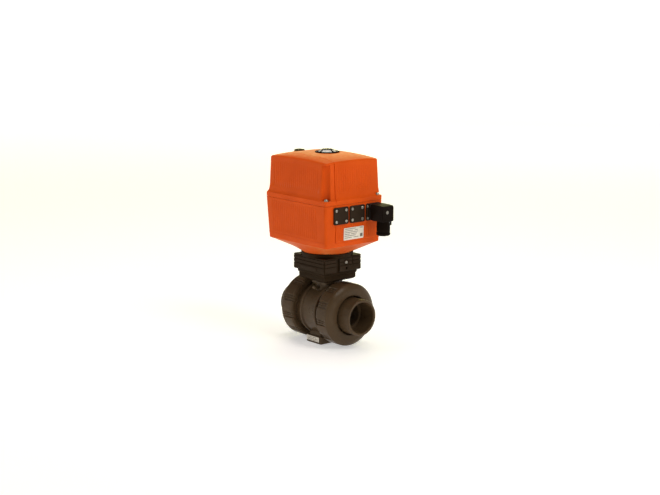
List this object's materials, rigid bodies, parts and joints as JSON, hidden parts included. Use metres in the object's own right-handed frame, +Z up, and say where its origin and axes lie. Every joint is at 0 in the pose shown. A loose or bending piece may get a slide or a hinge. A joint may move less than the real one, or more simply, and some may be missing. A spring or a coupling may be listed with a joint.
{
  "type": "motorized valve actuator",
  "caption": "Electric quarter-turn actuator with its adapter module on a true-union ball valve with solvent sockets for 50 mm plastic pipe.",
  "frame": {"origin": "centre of the valve base's bottom face, on the stem axis", "axes": "+X along the pipe, out of the end on the connector side; +Z up along the stem"},
  "size_m": [0.1975, 0.122, 0.3235],
  "materials": {
    "valve_plastic": "moulded dark grey-brown PVC-U",
    "black_plastic": "moulded black glass-filled plastic",
    "orange_plastic": "moulded orange plastic with fine vertical ribs",
    "seat_plastic": "white fluoropolymer",
    "gear_plastic": "natural acetal",
    "rubber": "black elastomer",
    "steel": "satin steel",
    "brass": "turned brass",
    "label": "printed film",
    "board": "green solder mask",
    "window": "clear moulded plastic"
  },
  "bodies": {
    "valve_and_casing": {"valve_body": "valve_plastic", "seal_carrier": "valve_plastic", "seat_left": "seat_plastic", "seat_right": "seat_plastic", "stem_seal": "rubber", "face_seal_left": "rubber", "face_seal_right": "rubber", "housing_seal": "rubber", "base_insert_front": "brass", "base_insert_back": "brass", "output_bush": "brass", "base_label": "label", "rating_label": "label", "module_housing": "black_plastic", "module_lid": "black_plastic", "switch_open": "black_plastic", "switch_closed": "black_plastic", "board_frame": "black_plastic", "transformer": "black_plastic", "indicator_ring": "black_plastic", "blank_plate_1": "black_plastic", "blank_plate_2": "black_plastic", "connector_base": "black_plastic", "lower_housing": "orange_plastic", "upper_cover": "orange_plastic", "module_screw": "steel", "cover_screw_1": "steel", "cover_screw_2": "steel", "cover_screw_3": "steel", "cover_screw_4": "steel", "gear_plate_lower": "steel", "gear_plate_upper": "steel", "gear_axle_2": "steel", "gear_axle_3": "steel", "motor": "steel", "switch_bracket": "steel", "terminal_block": "gear_plastic", "circuit_board": "board", "indicator_window": "window"},
    "output_train": {"output_shaft": "steel", "output_gear": "gear_plastic", "cam_open": "gear_plastic", "cam_closed": "gear_plastic", "coupling_shaft": "steel", "stem": "valve_plastic", "ball": "valve_plastic", "indicator_disc": "gear_plastic"},
    "third_shaft": {"gear_third": "gear_plastic"},
    "second_shaft": {"gear_second": "gear_plastic"},
    "motor_shaft": {"motor_shaft": "steel", "override_shaft": "steel"},
    "override_plug": {"override_plug": "black_plastic"},
    "connector": {"connector_plug": "black_plastic", "connector_screw": "steel", "connector_gasket": "rubber", "gland_nut": "black_plastic"},
    "union_left": {"union_end_left": "valve_plastic"},
    "union_right": {"union_end_right": "valve_plastic"},
    "nut_left": {"union_nut_left": "valve_plastic"},
    "nut_right": {"union_nut_right": "valve_plastic"}
  },
  "joints": [
    {"name": "valve_turn", "type": "hinge", "parent": "valve_and_casing", "child": "output_train", "pos_m": [0, 0, 0.054], "axis": [0, 0, -1], "range_deg": [0, 90]},
    {"name": "third_turn", "type": "hinge", "parent": "valve_and_casing", "child": "third_shaft", "pos_m": [-0.03853, -0.00414, 0.184], "axis": [0, 0, -1], "range_deg": [-376, 0]},
    {"name": "second_turn", "type": "hinge", "parent": "valve_and_casing", "child": "second_shaft", "pos_m": [-0.0456, -0.03175, 0.204], "axis": [0, 0, -1], "range_deg": [0, 1407]},
    {"name": "motor_turn", "type": "hinge", "parent": "valve_and_casing", "child": "motor_shaft", "pos_m": [-0.057, -0.012, 0.209], "axis": [0, 0, -1], "range_deg": [-5274, 0]},
    {"name": "override_plug_lift", "type": "slide", "parent": "valve_and_casing", "child": "override_plug", "axis": [0, 0, 1], "range_m": [0, 0.012]},
    {"name": "connector_pull", "type": "slide", "parent": "valve_and_casing", "child": "connector", "axis": [1, 0, 0], "range_m": [0, 0.02]},
    {"name": "union_left_slide", "type": "slide", "parent": "valve_and_casing", "child": "union_left", "axis": [-1, 0, 0], "range_m": [0, 0.012]},
    {"name": "union_right_slide", "type": "slide", "parent": "valve_and_casing", "child": "union_right", "axis": [1, 0, 0], "range_m": [0, 0.012]},
    {"name": "nut_left_turn", "type": "hinge", "parent": "union_left", "child": "nut_left", "pos_m": [-0.045, 0, 0.054], "axis": [-1, 0, 0], "range_deg": [0, 721]},
    {"name": "nut_right_turn", "type": "hinge", "parent": "union_right", "child": "nut_right", "pos_m": [0.045, 0, 0.054], "axis": [1, 0, 0], "range_deg": [0, 721]}
  ],
  "couplings": [
    {"joint": "third_turn", "follows": "valve_turn", "ratio": -4.1667},
    {"joint": "second_turn", "follows": "valve_turn", "ratio": 15.625},
    {"joint": "motor_turn", "follows": "valve_turn", "ratio": -58.594},
    {"joint": "nut_left_turn", "follows": "union_left_slide", "rad_per_m": 1047.2},
    {"joint": "nut_right_turn", "follows": "union_right_slide", "rad_per_m": 1047.2}
  ]
}
